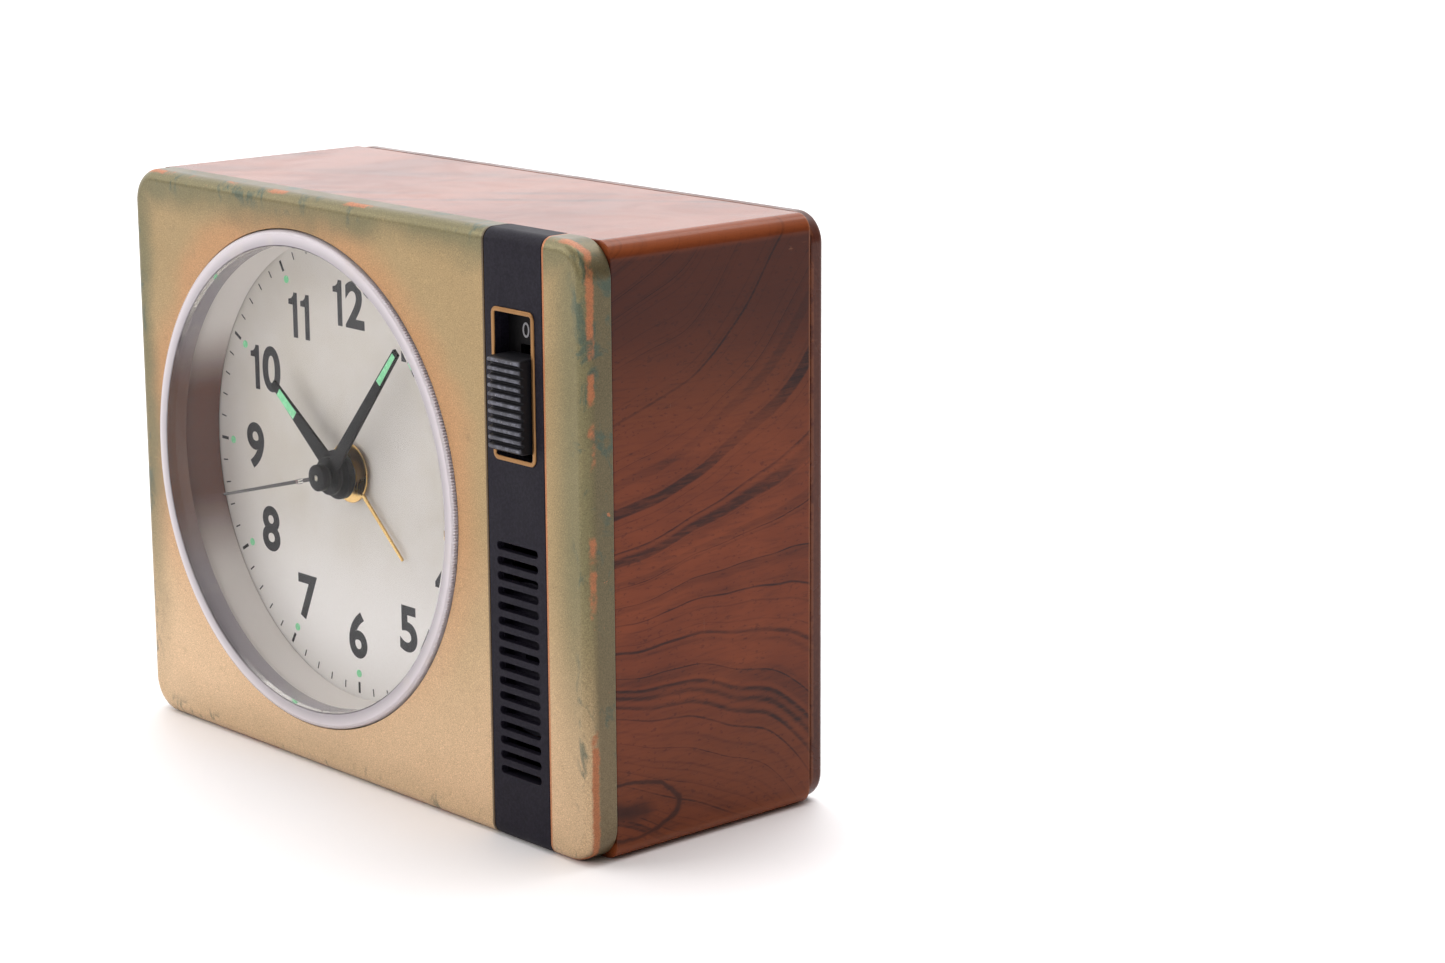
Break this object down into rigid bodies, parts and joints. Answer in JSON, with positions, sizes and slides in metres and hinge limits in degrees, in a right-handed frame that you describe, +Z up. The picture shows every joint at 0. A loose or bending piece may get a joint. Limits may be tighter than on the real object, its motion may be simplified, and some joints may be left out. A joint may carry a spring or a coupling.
{
  "type": "battery alarm clock",
  "caption": "Rectangular table alarm clock with a gold front, round dial and four hands, black switch and sound strip, and a glossy wood-grain case.",
  "frame": {"origin": "on the flat underside, midway across the clock and midway between front face and back cover", "axes": "+X to the right seen from the front, +Y from the dial towards the back, +Z up"},
  "size_m": [0.1126, 0.0546, 0.09],
  "materials": {
    "gold_paint": "satin gold paint, worn at the edges",
    "black_plastic": "fine matte",
    "gold_trim": "polished thin line",
    "slate_plastic": "satin",
    "clear_lens": "clear polished acrylic",
    "white_plastic": "glossy white",
    "dial_cream": "matte cream paint",
    "dial_print": "printed ink",
    "hand_black": "satin black",
    "hand_gold": "polished",
    "luminous": "luminous green fill",
    "wood_grain": "glossy lacquered wood-grain film",
    "brown_plastic": "glossy brown",
    "brass": "machined",
    "steel": "bright zinc",
    "nylon": "moulded",
    "copper": "enamelled copper wire",
    "board_green": "solder mask",
    "cell_label": "plain printed sleeve"
  },
  "bodies": {
    "case": {"front_bezel": "gold_paint", "fascia_strip": "black_plastic", "switch_frame": "gold_trim", "switch_guide": "black_plastic", "lens": "clear_lens", "dial_surround": "white_plastic", "dial": "dial_cream", "case_sleeve": "wood_grain", "back_cover": "brown_plastic", "battery_cell": "cell_label", "contact_plate": "steel", "contact_spring": "steel", "buzzer": "black_plastic", "case_screw_1": "steel", "case_screw_2": "steel", "case_screw_3": "steel", "case_screw_4": "steel", "movement_front_plate": "nylon", "movement_middle_plate": "nylon", "movement_rear_plate": "nylon", "plate_screw_1": "steel", "plate_screw_2": "steel", "plate_screw_3": "steel", "plate_screw_4": "steel", "pillar_1": "brass", "pillar_2": "brass", "pillar_3": "brass", "pillar_4": "brass", "pillar_screw_1": "steel", "pillar_screw_2": "steel", "pillar_screw_3": "steel", "pillar_screw_4": "steel", "stator": "steel", "coil_bobbin": "nylon", "coil_winding": "copper", "circuit_board": "board_green", "clock_chip": "black_plastic", "quartz_crystal": "steel"},
    "seconds": {"second_hand": "steel", "seconds_wheel": "nylon"},
    "rotor_arbor": {"rotor": "steel"},
    "step_arbor": {"step_wheel": "nylon"},
    "third_arbor": {"third_wheel": "nylon"},
    "centre_disc": {"centre_wheel": "nylon"},
    "minutes": {"minute_hand": "hand_black", "cannon_pinion": "nylon"},
    "minute_arbor": {"minute_wheel": "nylon"},
    "hours": {"hour_hand": "hand_black", "hour_wheel": "nylon"},
    "alarm_pointer": {"alarm_hand": "hand_gold", "alarm_wheel": "brass"},
    "time_setter": {"time_set_knob": "black_plastic", "time_set_shaft": "steel"},
    "alarm_setter": {"alarm_set_knob": "black_plastic", "alarm_set_shaft": "steel"},
    "alarm_switch": {"alarm_switch_knob": "slate_plastic", "switch_slider": "slate_plastic"},
    "battery_hatch": {"battery_door": "brown_plastic"}
  },
  "joints": [
    {"name": "second_hand_turn", "type": "hinge", "parent": "case", "child": "seconds", "pos_m": [-0.0119, 0, 0.0456], "axis": [0, 1, 0], "continuous": true},
    {"name": "step_wheel_turn", "type": "hinge", "parent": "case", "child": "step_arbor", "pos_m": [-0.00638, 0, 0.05023], "axis": [0, 1, 0], "continuous": true},
    {"name": "rotor_turn", "type": "hinge", "parent": "case", "child": "rotor_arbor", "pos_m": [-0.00448, 0, 0.05733], "axis": [0, 1, 0], "continuous": true},
    {"name": "third_wheel_turn", "type": "hinge", "parent": "case", "child": "third_arbor", "pos_m": [-0.02011, 0, 0.0478], "axis": [0, 1, 0], "continuous": true},
    {"name": "centre_wheel_turn", "type": "hinge", "parent": "case", "child": "centre_disc", "pos_m": [-0.0119, 0, 0.0456], "axis": [0, 1, 0], "continuous": true},
    {"name": "time_set_turn", "type": "hinge", "parent": "case", "child": "time_setter", "pos_m": [-0.0209, 0, 0.0366], "axis": [0, 1, 0], "continuous": true},
    {"name": "minute_wheel_turn", "type": "hinge", "parent": "case", "child": "minute_arbor", "pos_m": [-0.0119, 0, 0.0366], "axis": [0, 1, 0], "continuous": true},
    {"name": "minute_hand_turn", "type": "hinge", "parent": "case", "child": "minutes", "pos_m": [-0.0119, 0, 0.0456], "axis": [0, 1, 0], "continuous": true},
    {"name": "hour_hand_turn", "type": "hinge", "parent": "case", "child": "hours", "pos_m": [-0.0119, 0, 0.0456], "axis": [0, 1, 0], "continuous": true},
    {"name": "alarm_set_turn", "type": "hinge", "parent": "case", "child": "alarm_setter", "pos_m": [-0.00288, 0, 0.04232], "axis": [0, 1, 0], "continuous": true},
    {"name": "alarm_hand_turn", "type": "hinge", "parent": "case", "child": "alarm_pointer", "pos_m": [-0.0119, 0, 0.0456], "axis": [0, 1, 0], "continuous": true},
    {"name": "alarm_switch_slide", "type": "slide", "parent": "case", "child": "alarm_switch", "axis": [0, 0, 1], "range_m": [0, 0.005]},
    {"name": "battery_door_swing", "type": "hinge", "parent": "case", "child": "battery_hatch", "pos_m": [-0.0119, 0.02225, 0.0085], "axis": [-1, 0, 0], "range_deg": [0, 95]}
  ],
  "couplings": [
    {"joint": "step_wheel_turn", "follows": "second_hand_turn", "ratio": -5},
    {"joint": "rotor_turn", "follows": "second_hand_turn", "ratio": 30},
    {"joint": "third_wheel_turn", "follows": "second_hand_turn", "ratio": -0.13333},
    {"joint": "centre_wheel_turn", "follows": "second_hand_turn", "ratio": 0.016667},
    {"joint": "minute_wheel_turn", "follows": "time_set_turn", "ratio": -0.33333},
    {"joint": "minute_hand_turn", "follows": "time_set_turn", "ratio": 1},
    {"joint": "hour_hand_turn", "follows": "time_set_turn", "ratio": 0.083333},
    {"joint": "alarm_hand_turn", "follows": "alarm_set_turn", "ratio": -0.33333}
  ]
}
